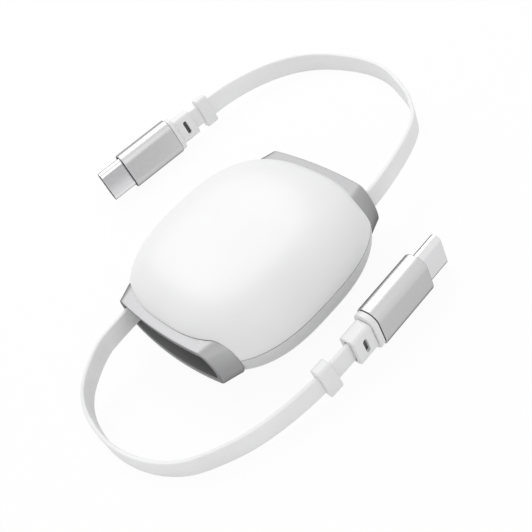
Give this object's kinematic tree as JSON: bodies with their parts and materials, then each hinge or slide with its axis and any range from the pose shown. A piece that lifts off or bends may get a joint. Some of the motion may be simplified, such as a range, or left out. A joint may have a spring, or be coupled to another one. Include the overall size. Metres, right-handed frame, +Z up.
{
  "type": "retractable charging cable",
  "caption": "Pillow-shaped reel housing with a flat cable out of the mouth at each end, and a small reversible charging plug on each cable.",
  "frame": {"origin": "centre of the housing's footprint, on the surface that it lies on", "axes": "+Z up through the housing; X from mouth to mouth, with the near cable's mouth at -X; +Y across, away from the near plug"},
  "size_m": [0.1151, 0.0961, 0.0202],
  "materials": {
    "housing_white": "satin",
    "housing_base": "satin",
    "trim_silver": "satin silver",
    "liner_dark": "matt",
    "inner_steel": "plain",
    "reel_white": "matt",
    "cable_white": "smooth matt",
    "plug_steel": "bright",
    "plug_sleeve_metal": "fine satin",
    "plug_white": "satin",
    "plug_grey": "matt",
    "insert_black": "matt",
    "contact_gold": "plated",
    "board_green": "matt"
  },
  "bodies": {
    "housing": {"top_shell": "housing_white", "bottom_shell": "housing_base", "mouth_trim_near": "trim_silver", "mouth_trim_far": "trim_silver", "mouth_liner_near": "liner_dark", "mouth_liner_far": "liner_dark", "housing_screws": "inner_steel", "guide_post_near": "inner_steel", "guide_post_far": "inner_steel", "reel_axle": "inner_steel", "pawl_pin": "inner_steel", "power_spring": "inner_steel", "pawl_spring": "inner_steel", "cable_near": "cable_white", "cable_far": "cable_white", "plug_tip_near": "plug_steel", "plug_tip_far": "plug_steel", "plug_sleeve_near": "plug_sleeve_metal", "plug_sleeve_far": "plug_sleeve_metal", "plug_neck_near": "plug_white", "plug_neck_far": "plug_white", "stop_band_near": "plug_white", "stop_band_far": "plug_white", "plug_core_near": "plug_grey", "plug_core_far": "plug_grey", "cable_crimp_near": "plug_grey", "cable_crimp_far": "plug_grey", "plug_insert_near": "insert_black", "plug_insert_far": "insert_black", "plug_contacts_near": "contact_gold", "plug_contacts_far": "contact_gold", "plug_board_near": "board_green", "plug_board_far": "board_green"},
    "reel": {"spool": "reel_white", "spring_cover": "inner_steel", "wound_cable": "cable_white"},
    "pawl": {"ratchet_pawl": "reel_white"}
  },
  "joints": [
    {"name": "reel_spin", "type": "hinge", "parent": "housing", "child": "reel", "pos_m": [0, 0, 0.0097], "axis": [0, 0, 1], "range_deg": [-540, 660], "stiffness_Nm_per_rad": 0.0004, "springref_deg": -540, "deforming": ["power_spring"]},
    {"name": "pawl_swing", "type": "hinge", "parent": "housing", "child": "pawl", "pos_m": [0.0042, 0.0136, 0.0143], "axis": [0, 0, 1], "range_deg": [0, 7], "stiffness_Nm_per_rad": 0.003, "deforming": ["pawl_spring"]}
  ]
}
